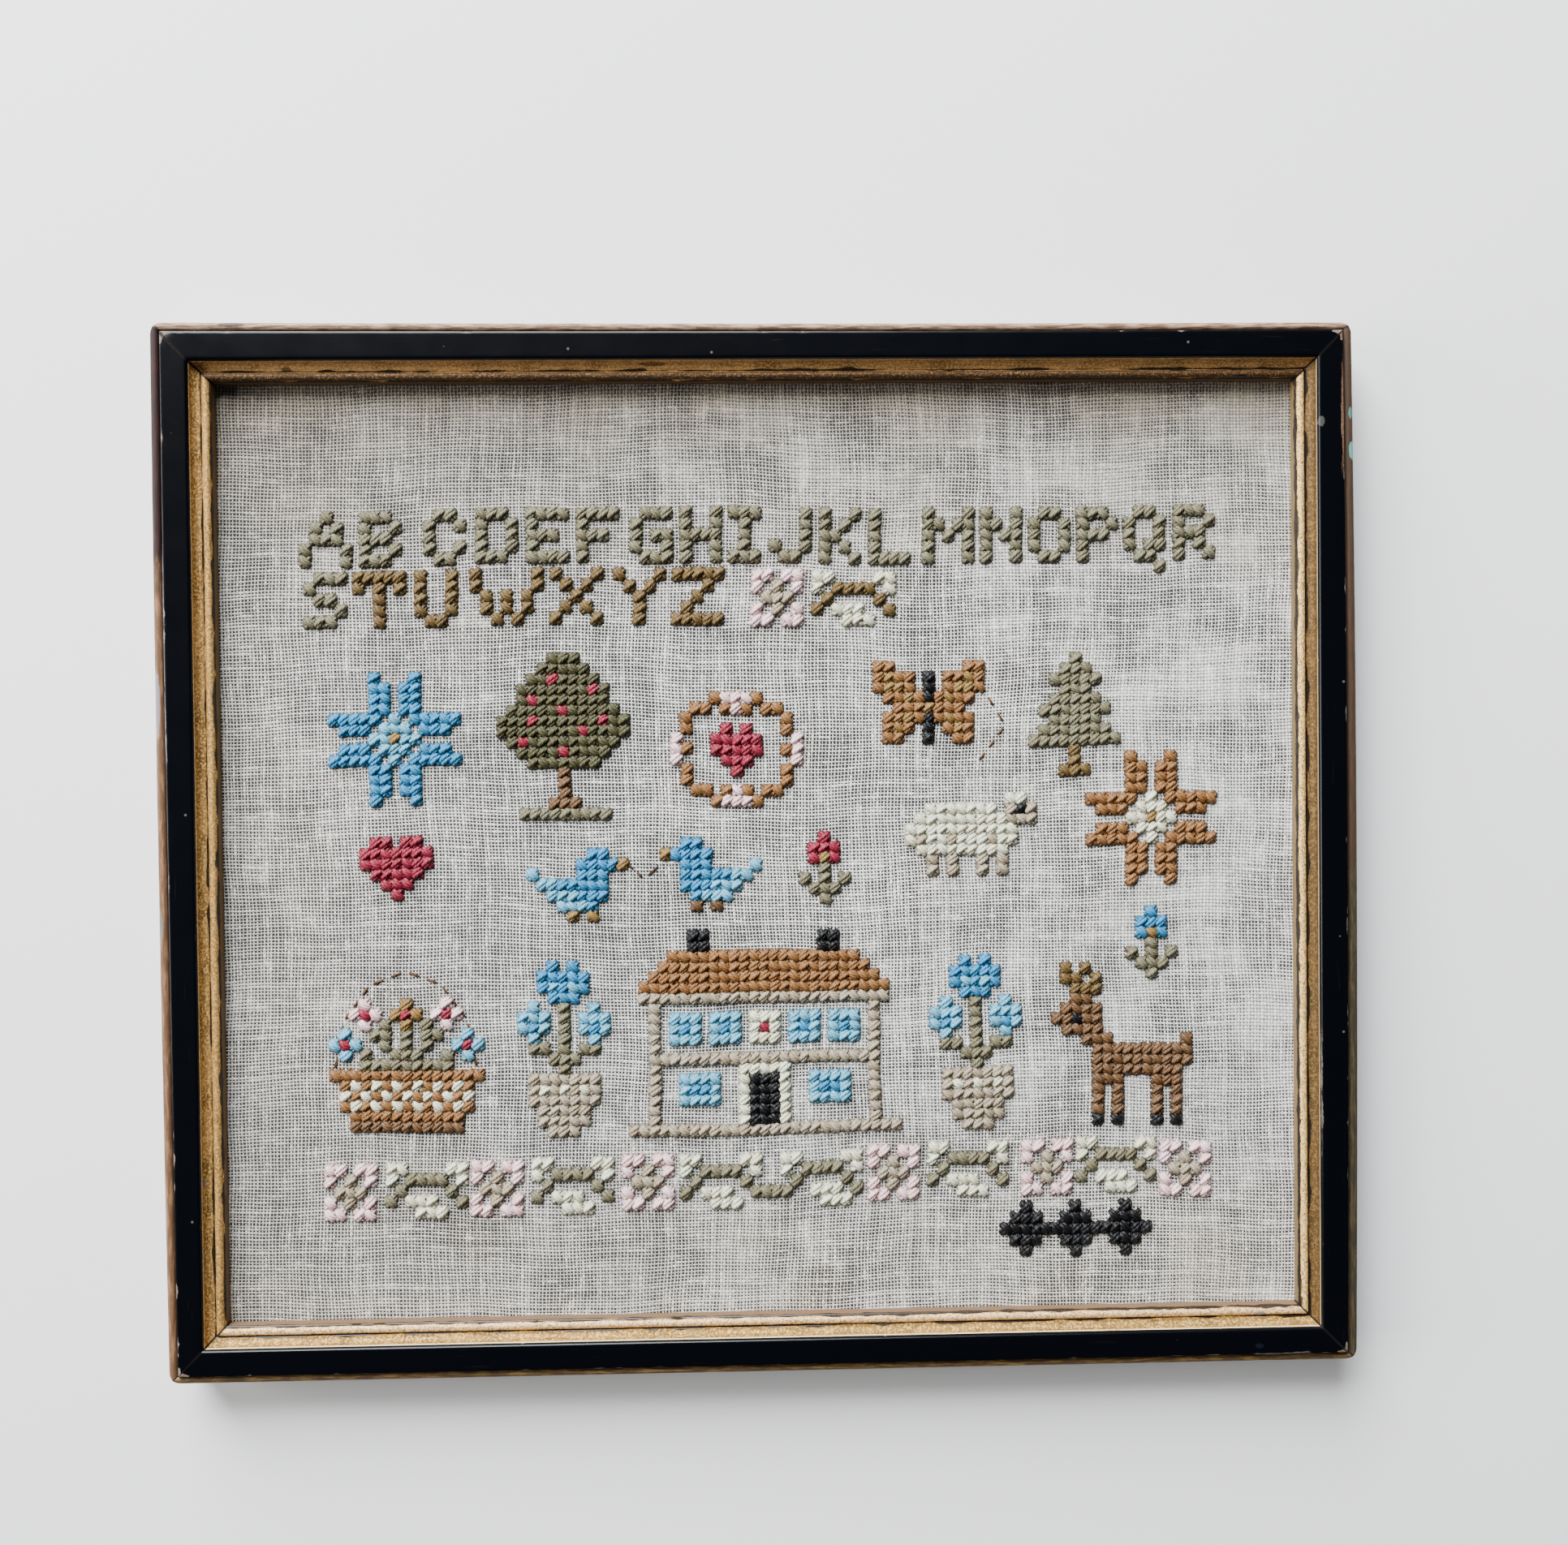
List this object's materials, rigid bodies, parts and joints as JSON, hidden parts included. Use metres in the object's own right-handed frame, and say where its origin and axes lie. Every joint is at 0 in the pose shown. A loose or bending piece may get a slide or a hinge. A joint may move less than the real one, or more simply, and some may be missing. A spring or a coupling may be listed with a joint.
{
  "type": "framed cross stitch sampler with a picture frame",
  "caption": "Stretched linen worked in cross stitch, held by mitred rails of slim black and gilt moulding.",
  "frame": {"origin": "middle of the bounding box's bottom face, which is the frame's flat back", "axes": "+Z out of the stitched face, +Y towards the sampler's top edge, +X to the right of someone reading it"},
  "size_m": [0.25, 0.22, 0.013],
  "materials": {
    "moulding": "worn black lacquer with a gilt lip and edge",
    "linen": "open plain weave with raised stitches",
    "board": "bare fibreboard"
  },
  "bodies": {
    "root": {"rail_top": "moulding", "rail_bottom": "moulding", "rail_left": "moulding", "rail_right": "moulding", "cloth": "linen", "backing_board": "board"}
  },
  "joints": []
}
